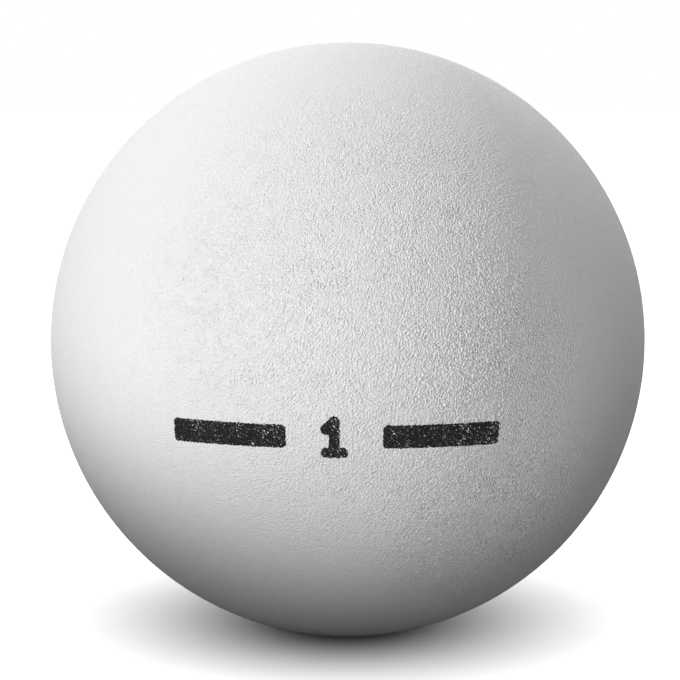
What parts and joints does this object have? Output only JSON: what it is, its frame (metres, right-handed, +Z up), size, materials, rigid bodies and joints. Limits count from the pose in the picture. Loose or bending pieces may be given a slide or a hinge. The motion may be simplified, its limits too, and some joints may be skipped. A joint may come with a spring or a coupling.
{
  "type": "foam tennis ball",
  "caption": "Soft training ball for tennis: a resilient foam core bonded inside a seamless, finely pebbled white skin.",
  "frame": {"origin": "centre of the ball", "axes": "+Z up; the printed number faces -Y, the front, with +X to the right as seen from there"},
  "size_m": [0.07, 0.07, 0.07],
  "materials": {
    "foam": "matte",
    "skin": "matte",
    "ink": "matte"
  },
  "bodies": {
    "root": {"foam_core": "foam", "skin": "skin"}
  },
  "joints": []
}
